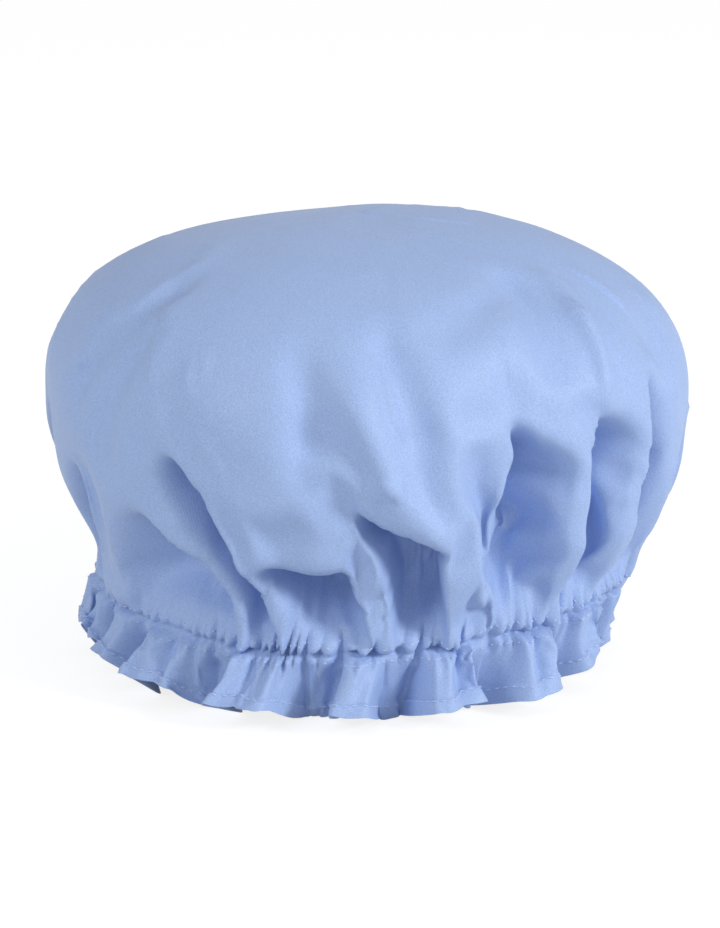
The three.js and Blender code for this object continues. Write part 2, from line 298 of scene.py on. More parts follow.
# The lobes that the photo shows, by the place of their left recess in that list. The others are made up.
FRONT_LOBES = {
    14: Lobe(0.9, 1, 12), 15: Lobe(0.9, -1, 12), 16: Lobe(0.9, -1, 12), 17: Lobe(0.85, -1, 12),
    18: Lobe(1.1, -1, 12), 19: Lobe(1.0, -1, 9.5), 0: Lobe(1.0, 1, 9), 1: Lobe(1.0, 1, 6), 2: Lobe(0.9, 1, 7),
    3: Lobe(0.5, 1, 7), 4: Lobe(0.5, 1, 8),
}


def length_property(name, description, default):
    """A length in metres as a property."""
    return FloatProperty(name=name, description=description, default=default, unit="LENGTH")


def colour_property(name, description, default):
    """A colour as a property."""
    return FloatVectorProperty(
        name=name, description=description, default=default, subtype="COLOR", size=3, min=0, max=1
    )


class CapSizes(bpy.types.PropertyGroup):
    """Sizes of the cap, with defaults from the frame."""

    crown_radius: length_property("Crown radius", "Half the crown's greatest width", CROWN_HIGH.x)
    crown_top: length_property("Crown top", "Height of the middle of the crown", CROWN_HIGH.z - 0.5 * MM)
    widest_height: length_property("Widest height", "Height of the crown's widest ring", 0.102)
    squareness: FloatProperty(
        name="Squareness", description="Exponent of the dome's section, 2 for an ellipse", default=2.32
    )
    crown_lean: length_property("Crown lean", "How far the crown leans to the right", 0.8 * MM)
    top_lean: length_property("Top lean", "How much further the top lies to the right", 6 * MM)
    wall_lean: length_property(
        "Wall lean", "How much further the crown's wall leans a little above the elastic", 3.6 * MM
    )
    gather_height: length_property(
        "Gather height", "Mean height of the elastic's middle", (ELASTIC_LOW.z + ELASTIC_HIGH.z) / 2
    )
    gather_radius: length_property(
        "Gather radius", "Radius of the cloth where the elastic draws it in", ELASTIC_HIGH.x + 0.7 * MM
    )
    pucker_count: IntProperty(
        name="Puckers", description="Small gathers round the elastic, a multiple of 4", default=128
    )
    pucker_height: length_property("Pucker height", "Height of the small gathers", 3.8 * MM)
    frill_depth: length_property(
        "Frill depth", "Depth of the frill below the elastic, along the cloth", 29 * MM
    )
    hem_depth: length_property("Hem depth", "Depth of the turned hem", 7.4 * MM)
    lobe_reach: length_property("Lobe reach", "How far a lobe of the frill stands out at the hem", 18 * MM)
    recess_depth: length_property(
        "Recess depth", "How far the frill's hem lies inside the elastic between two lobes", 6 * MM
    )
    ripple_height: length_property(
        "Ripple height", "Height of the ripples across a lobe, half way down the frill", 1.6 * MM
    )
    frill_lean: length_property(
        "Frill lean", "How far the frill's hem lies to the right of the elastic", -3 * MM
    )
    shoulder: length_property(
        "Shoulder", "How far the cloth bulges out above and below the elastic", 2.4 * MM
    )
    thread_diameter: length_property("Thread", "Diameter of the sewing thread", 0.5 * MM)


class CapColours(bpy.types.PropertyGroup):
    """Colours of the cap's materials."""

    cloth: colour_property("Cloth", "Colour of the outer cloth", (0.352, 0.482, 0.785))
    lining: colour_property("Lining", "Colour of the waterproof film", (0.80, 0.84, 0.89))
    elastic: colour_property("Elastic", "Colour of the braided elastic", (0.86, 0.86, 0.84))
    tape: colour_property("Tape", "Colour of the casing tape", (0.34, 0.46, 0.78))
    thread: colour_property("Thread", "Colour of the sewing thread", (0.5, 0.61, 0.9))
    floor: colour_property("Floor", "Colour of the floor", (0.7, 0.7, 0.7))


def smooth(x):
    """0 below 0, 1 above 1, and 3x^2 - 2x^3 between."""
    x = np.clip(x, 0, 1)
    return x * x * (3 - 2 * x)


def hump(x):
    """Rises from 0 at 0 to 1 at 1 and dies away beyond: x times e to the power 1 - x."""
    return x * np.exp(1 - x)


def turned(bearing, middle):
    """Bearings in degrees measured from a middle one, from -180 to 180."""
    return (bearing - middle + 180) % 360 - 180


def bearings(columns):
    """Evenly spaced bearings round the cap, as one row."""
    return np.arange(columns)[None] / columns * 2 * np.pi


def ring_points(radius, bearing, height, lean=0):
    """Points at a radius, a bearing and a height, moved to the right by a lean."""
    x, y = radius * np.sin(bearing) + lean, -radius * np.cos(bearing)
    return np.stack(np.broadcast_arrays(x, y, height), -1)


def disc_points(radius, bearing):
    """Places on the flat cut disc, as two numbers each."""
    return np.stack([radius * np.sin(bearing), -radius * np.cos(bearing)], -1)


def graded(marks, counts):
    """Distances in metres, from the top down. Marks are in millimetres, and between each two lies a count
    of even rows, both ends counted. The last mark, the middle of the crown, gets no row."""
    parts = [np.linspace(low, high, count)[1:] for low, high, count in zip(marks, marks[1:], counts)]
    return np.concatenate([marks[:1], *parts])[-2::-1] * MM


def crown_blocks(reach, counts, columns):
    """Distances of the crown's rows, from the top down to the elastic, in blocks that share a number of
    columns."""
    rows = graded((0, 24, 100, reach / MM), counts)
    return [
        (rows[rows >= QUARTER_ABOVE], columns // 4),
        (rows[(rows < QUARTER_ABOVE) & (rows >= HALF_ABOVE)], columns // 2),
        (rows[rows < HALF_ABOVE], columns),
    ]


def crown_section(sizes):
    """The crown's plain section: distance from the elastic along it, radius and height.

    From the elastic to the widest ring it is a parabola, R - (R - r)(1 - t)^2, and from there to the top a
    superellipse with the exponent that the sizes give.
    """
    step = np.linspace(0, 1, 240)
    bulge = sizes.crown_radius - sizes.gather_radius
    wall_radius = sizes.crown_radius - bulge * (1 - step) ** 2
    wall_height = sizes.gather_height + (sizes.widest_height - sizes.gather_height) * step
    turn = np.linspace(0, np.pi / 2, 400)[1:]
    power = 2 / sizes.squareness
    dome_radius = sizes.crown_radius * np.abs(np.cos(turn)) ** power
    dome_height = sizes.widest_height + (sizes.crown_top - sizes.widest_height) * np.sin(turn) ** power
    dome_radius[-1] = 0
    radius = np.concatenate([wall_radius, dome_radius])
    height = np.concatenate([wall_height, dome_height])
    distance = np.concatenate([[0], np.cumsum(np.hypot(np.diff(radius), np.diff(height)))])
    return distance, radius, height


def fold_depth(fold, degrees, up):
    """How far one fold draws the cloth in: its depth times a smooth step in from each edge, its top and
    its foot."""
    middle = (fold.left[0] + fold.right[0]) / 2
    across = turned(degrees, middle)
    from_left = across - (np.interp(up, fold.at, fold.left) - middle)
    from_right = (np.interp(up, fold.at, fold.right) - middle) - across
    from_top = fold.top + fold.top_slope * (across + middle) - up
    steps = smooth(from_left / fold.left_width) * smooth(from_right / fold.right_width)
    return fold.depth * MM * steps * smooth(from_top / fold.top_width) * smooth(up / fold.foot + FOLD_START)


def stroke_height(stroke, degrees, up):
    """Height of one stroke: its height times exp(-(d / width)^2), d being the distance to its line."""
    x = turned(degrees, stroke.start[0]) * MM_PER_DEGREE
    y = up - stroke.start[1]
    run = (stroke.end[0] - stroke.start[0]) * MM_PER_DEGREE
    rise = stroke.end[1] - stroke.start[1]
    along = np.clip((x * run + y * rise) / (run * run + rise * rise), 0, 1)
    square = (x - along * run) ** 2 + (y - along * rise) ** 2
    return stroke.height * MM * np.exp(-square / stroke.width**2)


def back_folds():
    """Folds made up for the sides and the back, in the manner of those at the front: each has one sharp
    edge and one soft one, on either side, leans a little and narrows towards its upper end."""
    random = np.random.default_rng(SEED)
    folds = []
    spacing = (BACK_FOLD_TO - BACK_FOLD_FROM) / BACK_FOLD_COUNT
    for index in range(BACK_FOLD_COUNT):
        left = BACK_FOLD_FROM + spacing * (index + random.uniform(0.0, 0.25))
        width = spacing * random.uniform(0.7, 0.95)
        reach = random.uniform(38, 92)
        lean = random.uniform(-9, 9)
        bow = random.uniform(-2.5, 2.5)
        sharp_left = random.uniform() < 0.5
        widths = (SHARP_EDGE, width * SOFT_EDGE) if sharp_left else (width * SOFT_EDGE, SHARP_EDGE)
        right = left + width
        close = FOLD_CLOSE * width
        folds.append(
            Fold(
                (0, reach * 0.5, reach),
                (left, left + lean * 0.5 + bow, left + lean + (0 if sharp_left else close)),
                (right, right + lean * 0.5 + bow, right + lean - (close if sharp_left else 0)),
                *widths, reach, 0, random.uniform(12, 26), random.uniform(13, 22), random.uniform(8, 22),
            )
        )
    return folds


def waves(random, bearing, from_top, count, lengths):
    """A sum of plane cosine waves over the flat cut disc, each with its own direction, length and phase.
    The sum has a mean square of about one."""
    x, y = from_top * np.sin(bearing), from_top * np.cos(bearing)
    total = 0
    for _ in range(count):
        turn, phase = random.uniform(0, 2 * np.pi, 2)
        length = random.uniform(*lengths)
        total = total + np.cos(2 * np.pi * (x * np.cos(turn) + y * np.sin(turn)) / length + phase)
    return total * math.sqrt(2 / count)


def cubic(grid, place):
    """Values between the rows of a grid, at places counted in rows: the cubic through the two nearest rows
    whose slope at each is half the difference of that row's neighbours."""
    low = np.floor(place).astype(int)
    part = (place - low).reshape(-1, *[1] * (grid.ndim - 1))
    a, b, c, d = (grid[np.clip(low + step, 0, len(grid) - 1)] for step in (-1, 0, 1, 2))
    return b + part / 2 * (c - a + part * (2 * a - 5 * b + 4 * c - d + part * (3 * (b - c) + d - a)))


def cubic_round(grid, columns):
    """Values of a grid at an even number of columns round the cap, by the same cubic over its columns."""
    count = grid.shape[1]
    padded = np.concatenate([grid[:, -2:], grid, grid[:, :3]], axis=1)
    place = np.arange(columns) / columns * count + 2
    return cubic(padded.swapaxes(0, 1), place).swapaxes(0, 1)


def round_table(table, bearing, spread):
    """Values of a table of bearings and values, averaged over a spread of degrees."""
    knots, values = np.array(table).T
    taps = np.linspace(-spread / 2, spread / 2, 7)
    return sum(np.interp(np.degrees(bearing) + tap, knots, values, period=360) for tap in taps) / len(taps)


def gather_rise(bearing):
    """Height of the elastic's line over its mean, from the table of rises."""
    return round_table(GATHER_RISE, bearing, 24) * MM


def settle(context, laid, cut, faces, hold):
    """Positions of a sheet of cloth after Blender's cloth solver has let it settle. It starts where it is
    laid out, wants the lengths of its cut shape, is held by the weights and doesn't pass through itself."""
    mesh = bpy.data.meshes.new("settling")
    mesh.from_pydata((laid * SETTLE_SCALE).tolist(), [], faces)
    sheet = bpy.data.objects.new("settling", mesh)
    context.scene.collection.objects.link(sheet)
    sheet.shape_key_add(name="laid")
    key = sheet.shape_key_add(name="cut")
    key.data.foreach_set("co", (cut * SETTLE_SCALE).astype(np.float32).ravel())
    key.value = 0
    group = sheet.vertex_groups.new(name="hold")
    for weight in np.unique(hold[hold > 0]):
        group.add(np.nonzero(hold == weight)[0].tolist(), float(weight), "REPLACE")
    modifier = sheet.modifiers.new("cloth", "CLOTH")
    cloth, collision = modifier.settings, modifier.collision_settings
    cloth.rest_shape_key = key
    cloth.vertex_group_mass = group.name
    cloth.quality = 5
    cloth.mass, cloth.air_damping = 0.05, 0.5
    cloth.tension_stiffness = cloth.compression_stiffness = 30
    cloth.shear_stiffness, cloth.bending_stiffness = 10, 20
    cloth.tension_damping = cloth.compression_damping = cloth.shear_damping = 2
    cloth.effector_weights.gravity = 0
    collision.use_collision = False
    collision.use_self_collision = True
    collision.self_distance_min = 0.008
    modifier.point_cache.frame_start, modifier.point_cache.frame_end = 1, SETTLE_FRAMES
    for number in range(1, SETTLE_FRAMES + 1):
        context.scene.frame_set(number)
    settled = sheet.evaluated_get(context.evaluated_depsgraph_get()).data
    points = np.zeros(3 * len(laid), np.float32)
    settled.vertices.foreach_get("co", points)
    bpy.data.objects.remove(sheet)
    bpy.data.meshes.remove(mesh)
    context.scene.frame_set(1)
    return points.reshape(-1, 3).astype(float) / SETTLE_SCALE


class OuterCloth:
    """The outer cloth's surface. It is laid out by formulas, as a point for any bearing in radians and
    distance from the elastic, then settled as cloth on a grid, and is read between the grid's points by
    cubics."""

    latest = None

    def __init__(self, sizes):
        self.sizes = sizes
        self.along, self.radius, self.height = crown_section(sizes)
        self.reach = self.along[-1]
        self.folds = list(FRONT_FOLDS.values()) + back_folds()
        recesses = np.array(FRILL_RECESSES)
        self.recesses = np.concatenate([recesses[-3:] - 360, recesses, recesses[:3] + 360])
        random = np.random.default_rng(SEED + 1)
        lobes = len(recesses)
        self.lobe_size = random.uniform(0.7, 1.1, lobes)
        self.lobe_side = random.choice((-1, 1), lobes)
        self.lobe_lift = random.uniform(7, 12, lobes)
        for place, lobe in FRONT_LOBES.items():
            self.lobe_size[place], self.lobe_side[place], self.lobe_lift[place] = lobe
        self.lobe_lap = random.uniform(4.5, 6.5, lobes)
        self.lobe_fall = random.uniform(0.15, 0.3, lobes)
        self.ripples = random.uniform(1.7, 2.8, lobes)
        self.ripple_start = random.uniform(0, 1, lobes)
        count = sizes.pucker_count
        self.pucker_size = [random.uniform(0.45, 1.25, count // part) for part in (1, 2, 4)]
        self.crowding = [
            (order, random.uniform(0.6, 1.2) * 1.4 / math.sqrt(order), random.uniform(0, 2 * np.pi))
            for order in (3, 5, 8, 13, 21)
        ]
        self.grid_blocks = [
            *crown_blocks(self.reach, SETTLE_ROWS, SETTLE_COLUMNS),
            (-np.linspace(0, sizes.frill_depth, 12)[1:], SETTLE_COLUMNS),
        ]
        self.levels = np.concatenate([[self.reach], *(block for block, _ in self.grid_blocks)])
        self.grid = None
        self.grid_arches = self.arches(bearings(SETTLE_COLUMNS), np.abs(self.levels)[:, None] / MM)

    def section(self, distance):
        """Radius and height of the plain section at a distance from the elastic."""
        return np.interp(distance, self.along, self.radius), np.interp(distance, self.along, self.height)

    def turning_radius(self, distance):
        """Radius of the plain section for turning lengths into bearings, with a least value near the top."""
        return np.maximum(np.interp(distance, self.along, self.radius), LEAST_TURN)

    def rise(self, bearing, distance):
        """How far the elastic's rise lifts the crown. It fades out up the wall."""
        return gather_rise(bearing) * (1 - smooth(distance / (0.4 * self.reach)))

    def arches(self, bearing, away, part=1):
        """Small gathers as heights from 0 to about 1: arches |sin| with sharp valleys between, merged by
        twos or fours for a part of 2 or 4. Slow waves of the phase crowd them here and open them there,
        and each has its own size. Those of part 1 die away as e to the power -(d/span)^2, d being the
        distance from the elastic."""
        phase = self.sizes.pucker_count * bearing / (2 * np.pi)
        for order, size, start in self.crowding:
            phase = phase + size * np.cos(order * bearing + start)
        arch = phase / part
        sizes = self.pucker_size[int(math.log2(part))]
        height = sizes[np.floor(arch).astype(int) % len(sizes)] * np.abs(np.sin(np.pi * arch)) ** 0.8
        if part > 1:
            return height
        run = np.minimum(1, 0.4 + round_table(GATHER_RUN, bearing, 10))
        return height * np.exp(-((away / GATHER_SPAN) ** 2)) * run

    def puckers(self, bearing, away, spans, run=1.0):
        """Height of all the small gathers: every arch at the elastic, pairs merged a little way off and
        fours further off. Run is the share of those that lie further off."""
        total = self.arches(bearing, away) - 0.05
        for part, span, sunk in zip((2, 4), spans, (0.4, 0.5)):
            total = total + run * hump(away / span) * (self.arches(bearing, away, part) - sunk)
        return self.sizes.pucker_height * total

    def inward(self, bearing, distance):
        """Depth of the folds at a place of the crown, less the strokes' height. Where folds meet, the
        deepest holds, and a soft limit keeps them from going deeper than a wall that rises straight from
        the elastic or, further up, than that wall and a gain in depth."""
        degrees, up = np.degrees(bearing), distance / MM
        depth = 0
        for fold in self.folds:
            depth = np.maximum(depth, fold_depth(fold, degrees, up))
        for stroke in FRONT_STROKES.values():
            depth = depth - stroke_height(stroke, degrees, up)
        room = np.interp(distance, self.along, self.radius) - self.sizes.gather_radius + 0.5 * MM
        room = np.where(distance > 0.6 * self.reach, TOP_ROOM, room + ROOM_GAIN * smooth((up - 3) / 21))
        return np.where(depth > 0, room * np.tanh(depth / room), depth * smooth(up / 12))

    def roll(self, bearing, distance):
        """How far the edge of a fold rolls over it: a shift round the cap and one up it, in metres. Depths
        on two circles give two means and the slope into the fold. The shift runs down that slope and is as
        long as the wide mean is deeper than the near one, so the edge moves over the fold and its foot
        back under."""
        radius = self.turning_radius(distance)
        means, slope_round, slope_up = [], 0, 0
        for span in ROLL_CIRCLES:
            mean = 0
            for turn in np.arange(8) * np.pi / 4:
                x, y = span * np.cos(turn), span * np.sin(turn)
                depth = self.inward(bearing + x / radius, np.maximum(distance + y, 0))
                mean = mean + depth / 8
                slope_round = slope_round + depth * np.cos(turn) / (8 * span)
                slope_up = slope_up + depth * np.sin(turn) / (8 * span)
            means.append(mean)
        steep = np.hypot(slope_round, slope_up)
        length = FOLD_ROLL * (means[1] - means[0]) / (steep + 0.3) * smooth(distance / (12 * MM))
        return length * slope_round, length * slope_up

    def plain(self, bearing, distance, move):
        """Points of the plain section, leaning and with the elastic's rise, moved out square to the
        section."""
        step = 0.8 * MM
        radius, height = self.section(distance)
        run, rise = np.subtract(self.section(distance + step), self.section(distance - step))
        length = np.maximum(np.hypot(run, rise), 1e-9)
        radius = radius + rise / length * move
        height = height - run / length * move + self.rise(bearing, distance)
        return ring_points(radius, bearing, height, self.lean(distance))

    def lean(self, distance):
        """How far the crown leans to the right at a distance from the elastic."""
        upper = self.sizes.crown_lean * smooth(distance / (0.4 * self.reach))
        upper = upper + self.sizes.top_lean * smooth((distance / self.reach - 0.55) / 0.3)
        return upper + self.sizes.wall_lean * hump(np.maximum(distance, 0) / (30 * MM))

    def crown(self, bearing, distance):
        """Points of the crown as laid out: the plain section moved in by the folds, whose edges roll over
        them, and out by small gathers near the elastic and slow waves over the whole crown."""
        random = np.random.default_rng(SEED + 2)
        away = distance / MM
        fade = smooth(away / 40)
        move = self.puckers(bearing, away, CROWN_GATHERS, round_table(GATHER_RUN, bearing, 10))
        move = move + self.sizes.shoulder * hump(away / SHOULDER_SPAN)
        move = move - self.inward(bearing, distance)
        from_top = self.reach - distance
        move = move + SLOW_WAVES * fade * waves(random, bearing, from_top, 10, (0.09, 0.25))
        move = move + SMALL_WAVES * fade * waves(random, bearing, from_top, 16, (0.03, 0.09))
        round_, up = self.roll(bearing, distance)
        radius = self.turning_radius(distance)
        return self.plain(bearing + round_ / radius, distance + up, move)

    def frill(self, bearing, drop):
        """Points of the frill. Between two recesses stands a lobe: a panel moved out and lifted, more so
        towards the hem. One side of it is a sharp edge that laps over the recess beside it, and the other
        side falls away softly. Lobes stand out less at the sides of the cap and are rippled across. Small
        gathers run out below the elastic."""
        sizes = self.sizes
        share = drop / sizes.frill_depth
        away = drop / MM
        phase = np.interp(np.degrees(bearing) % 360, self.recesses, np.arange(len(self.recesses)) - 3.0)
        lobe = np.floor(phase).astype(int) % len(FRILL_RECESSES)
        part = phase - np.floor(phase)
        side = self.lobe_side[lobe]
        part = np.where(side < 0, part, 1 - part)
        stand = smooth((part - LOBE_START) / LOBE_RISE) * smooth((LOBE_END - part) / self.lobe_fall[lobe])
        reach = self.lobe_size[lobe] * (1 - SIDE_LOSS * np.sin(bearing) ** 4)
        out = sizes.lobe_reach * reach * stand * share - sizes.recess_depth * (1 - stand) * share
        ripple = np.sin(2 * np.pi * (self.ripples[lobe] * part + self.ripple_start[lobe] + 0.25 * share))
        out = out + sizes.ripple_height * ripple * stand * np.sin(np.pi * share**0.8)
        out = out + sizes.shoulder * (0.3 + 0.7 * stand) * hump(away / SHOULDER_SPAN)
        out = out + self.puckers(bearing, away, FRILL_GATHERS)
        radius = sizes.gather_radius + out
        lap = self.lobe_lap[lobe] * np.sin(2 * np.pi * np.clip(part / LOBE_LAP, 0, 1))
        around = bearing - side * MM * lap * share**0.8 / radius
        lift = self.lobe_lift[lobe] * MM
        height = sizes.gather_height + gather_rise(bearing) - drop + lift * stand * share**1.5
        height = (height + np.hypot(height, HEM_TOUCH)) / 2
        return ring_points(radius, around, height, sizes.frill_lean * smooth(share))

    def cut_shape(self):
        """Points of the cut shape that the settling cloth wants. It is a surface of revolution with the
        plain section's lengths down from the top and, round the cap, its lengths times a fullness that
        grows to the elastic and on to the hem."""
        rings = [[0]]
        for levels, _ in self.grid_blocks:
            if levels[0] >= 0:
                full = 1 + (RING_FULLNESS - 1) * (1 - np.clip(levels / FULLNESS_END, 0, 1)) ** 1.3
                rings.append(self.section(levels)[0] * full)
            else:
                full = FRILL_FULLNESS - (HEM_FULLNESS - FRILL_FULLNESS) * levels / self.sizes.frill_depth
                rings.append(self.sizes.gather_radius * full)
        radius = np.concatenate(rings)
        slack = np.where((self.levels > HOLD_FAST) & (self.levels < 95 * MM), WALL_SLACK, 1)
        fall = (np.diff(self.levels) * slack[1:]) ** 2
        drops = np.sqrt(np.maximum(fall - np.diff(radius) ** 2, LEAST_FALL * fall))
        height = np.concatenate([[0], -np.cumsum(drops)])
        cut, row = [], 1
        for levels, columns in self.grid_blocks:
            rows = slice(row, row + len(levels))
            cut.append(ring_points(radius[rows, None], bearings(columns), height[rows, None]).reshape(-1, 3))
            row += len(levels)
        return np.concatenate([*cut, np.zeros((1, 3))])

    def settle(self, context):
        """Settle the cloth on its grid. The elastic and the top hold it fast, and the frill is held
        softly. The settled grid is averaged a little with its neighbours and let down until the hem stands
        on the floor."""
        points, shapes, hold = [], [], []
        for levels, columns in self.grid_blocks:
            level, round_ = levels[:, None], bearings(columns)
            if levels[0] >= 0:
                block = self.crown(round_, level)
                weight = np.maximum(CROWN_HOLD, smooth((levels - TOP_HOLD[0]) / TOP_HOLD[1]))
            else:
                block = self.frill(round_, -level)
                weight = FRILL_HOLD
            points.append(block.reshape(-1, 3))
            shapes.append(block.shape[:2])
            hold.append(np.repeat(np.round(np.where(np.abs(levels) <= HOLD_FAST, 1, weight), 2), columns))
        tip = self.crown(np.zeros((1, 1)), np.full((1, 1), self.reach))[0]
        settled = np.concatenate([*points, tip])
        faces, weights = ring_faces(shapes, tip=True), np.concatenate([*hold, [1]])
        settled = settle(context, settled, self.cut_shape(), faces, weights)
        grid, start = [np.broadcast_to(settled[-1], (1, SETTLE_COLUMNS, 3))], 0
        for rows, columns in shapes:
            block = settled[start:start + rows * columns].reshape(rows, columns, 3)
            grid.append(cubic_round(block, SETTLE_COLUMNS))
            start += rows * columns
        grid = np.concatenate(grid)
        even = (np.roll(grid, 1, axis=1) + 2 * grid + np.roll(grid, -1, axis=1)) / 4
        even[1:-1] = (even[:-2] + 2 * even[1:-1] + even[2:]) / 4
        share = EVENING * smooth((np.abs(self.levels) - 3 * MM) / (6 * MM))[:, None, None]
        self.grid = grid + share * (even - grid)
        below = np.clip(-self.levels / self.sizes.frill_depth, 0, 1)[:, None]
        self.grid[..., 2] -= self.grid[..., 2].min() * below

    def points(self, columns, levels):
        """Points of the settled cloth at even bearings and at levels from the elastic, up the crown or,
        below zero, down the frill. What the grid can't hold comes on top: the sharp valleys of the small
        gathers, the small creases and the step of the turned hem. Over the casing the cloth is kept
        outside the elastic."""
        place = np.interp(-levels, -self.levels, np.arange(len(self.levels)))
        grid = cubic_round(cubic(self.grid, place), columns)
        round_ = bearings(columns)
        arches = self.arches(round_, np.abs(levels)[:, None] / MM)
        arches = arches - cubic_round(cubic(self.grid_arches[..., None], place), columns)[..., 0]
        sharp = (self.sizes.pucker_height * arches)[..., None]
        grid = grid + sharp * ring_points(1, round_, 0)
        ring = np.maximum(np.hypot(grid[..., 0], grid[..., 1]), MM)
        near = 1 - smooth((np.abs(levels)[:, None] - CASING_COVER) / CASING_COVER_END)
        short = np.maximum(ELASTIC_HIGH.x + CASING_GAP - ring, 0) * near
        grid[..., :2] *= (1 + short / ring)[..., None]
        hem_top = self.sizes.frill_depth - self.sizes.hem_depth
        step = HEM_STEP * smooth((-levels - hem_top + 0.3 * MM) / (0.6 * MM))
        move = step[:, None] + self.creases(round_, levels[:, None])
        return grid + move[..., None] * outward(grid)

    def creases(self, bearing, level):
        """Height of the small sharp creases. Each lies along a straight line of the flat disc. On one side
        of the line it falls as e to the power -d / width, on the other as e to the power -(d / edge)^2,
        and it dies away to its ends, to the middle of the crown and to the elastic."""
        random = np.random.default_rng(SEED + 3)
        reach = self.reach / MM
        away = reach - level / MM
        x, y = np.moveaxis(disc_points(away, bearing), -1, 0)
        lines = []
        for crease in FRONT_CREASES.values():
            ends = [disc_points(reach - up, math.radians(turn)) for turn, up in (crease.start, crease.end)]
            lines.append((*ends, crease.width, crease.height))
        for _ in range(CREASE_COUNT):
            turn, out = random.uniform(0, 2 * np.pi), random.uniform(10, reach - 50)
            slope, half = random.uniform(0, 2 * np.pi), random.uniform(6, 26)
            middle = disc_points(out, turn)
            step = half * np.array([np.cos(slope), np.sin(slope)])
            lines.append((middle - step, middle + step, random.uniform(3, 7), random.uniform(0.3, 0.9)))
        total = 0
        for start, end, width, height in lines:
            run, rise = np.subtract(end, start)
            length = math.hypot(run, rise)
            along = ((x - start[0]) * run + (y - start[1]) * rise) / length**2
            across = ((y - start[1]) * run - (x - start[0]) * rise) / length
            edge = np.exp(-((across / CREASE_EDGE) ** 2))
            profile = np.where(across > 0, np.exp(-np.abs(across) / width), edge)
            total = total + height * profile * smooth(4 * along) * smooth(4 * (1 - along))
        return MM * total * smooth((level / MM - 25) / 30) * smooth((away - 3) / 12)

    def inner_depth(self):
        """How deep the settled crown lies inside the plain section, in cells of bearing by distance along
        the section: the deepest of the grid's points in each cell and its neighbours, then averaged over
        those."""
        crown = self.levels >= 0
        level = self.levels[crown][:, None]
        x, y, z = np.moveaxis(self.grid[crown], -1, 0)
        x = x - self.lean(level)
        bearing = np.arctan2(x, -y)
        z = z - self.rise(bearing, level)
        radius = np.hypot(x, y)
        marks = np.linspace(0, self.reach, 240)
        ring, height = self.section(marks)
        nearest = np.argmin((radius[..., None] - ring) ** 2 + (z[..., None] - height) ** 2, axis=-1)
        run, rise = np.gradient(ring), np.gradient(height)
        inside = (ring[nearest] - radius) * rise[nearest] - (height[nearest] - z) * run[nearest]
        depth = inside / np.hypot(rise, run)[nearest]
        cells = np.zeros((int(self.reach / CELL_LENGTH) + 2, CELL_COUNT))
        row = (marks[nearest] / CELL_LENGTH).astype(int)
        column = (np.degrees(bearing) % 360 / (360 / CELL_COUNT)).astype(int) % CELL_COUNT
        np.maximum.at(cells, (row, column), depth)
        near = [np.roll(np.roll(cells, up, 0), turn, 1) for up in (-1, 0, 1) for turn in (-1, 0, 1)]
        cells = np.max(near, axis=0)
        return np.mean([np.roll(cells, turn, 1) for turn in (-1, 0, 1)], axis=0)


def outward(points):
    """Unit normals of a grid of points, rows from the top down by columns round the cap: the cross product
    of the steps down and round, each taken over both neighbours."""
    down = np.gradient(points, axis=0)
    round_ = np.roll(points, -1, axis=1) - np.roll(points, 1, axis=1)
    normal = np.cross(down, round_)
    return normal / np.maximum(np.linalg.norm(normal, axis=-1, keepdims=True), 1e-12)


def ring_faces(blocks, tip=False):
    """Faces between rows of points round the cap, listed from the top down. Each block is a number of rows
    and of columns. Inside a block each four points make a quad. Where the next block has twice the
    columns, each upper edge and the two lower ones make three triangles. With a tip, a last point closes
    the first row."""
    faces = []
    start = 0
    above = None
    for rows, columns in blocks:
        index = start + np.arange(rows * columns).reshape(rows, columns)
        right = np.roll(index, -1, axis=1)
        if above is not None:
            up, up_right = above, np.roll(above, -1)
            if len(up) == columns:
                faces.append(np.stack([up, index[0], right[0], up_right], -1))
            else:
                even, odd, last = index[0, 0::2], index[0, 1::2], right[0, 1::2]
                faces.append(np.stack([up, even, odd], -1))
                faces.append(np.stack([up, odd, up_right], -1))
                faces.append(np.stack([up_right, odd, last], -1))
        faces.append(np.stack([index[:-1], index[1:], right[1:], right[:-1]], -1).reshape(-1, 4))
        above = index[-1]
        start += rows * columns
    if tip:
        first = np.arange(blocks[0][1])
        faces.append(np.stack([np.full(len(first), start), first, np.roll(first, -1)], -1))
    return [face for group in faces for face in group.tolist()]


def make_mesh(name, vertices, faces, uv=None):
    """A smooth mesh from vertices and faces. UV gives two numbers for each vertex."""
    mesh = bpy.data.meshes.new(name)
    mesh.from_pydata(vertices.tolist(), [], faces)
    mesh.polygons.foreach_set("use_smooth", np.ones(len(mesh.polygons), bool))
    if uv is not None:
        loops = np.zeros(len(mesh.loops), np.int32)
        mesh.loops.foreach_get("vertex_index", loops)
        layer = mesh.uv_layers.new(name="Cloth")
        layer.data.foreach_set("uv", uv[loops].astype(np.float32).ravel())
    mesh.update()
    return mesh


def add_piece(context, mesh, material, replaced):
    """Link a mesh as a piece that rides on the cap's body and stands for the CAD nodes named."""
    piece = bpy.data.objects.new(mesh.name, mesh)
    context.scene.collection.objects.link(piece)
    mesh.materials.append(material)
    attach(piece, BODY)
    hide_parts(*replaced)
    return piece


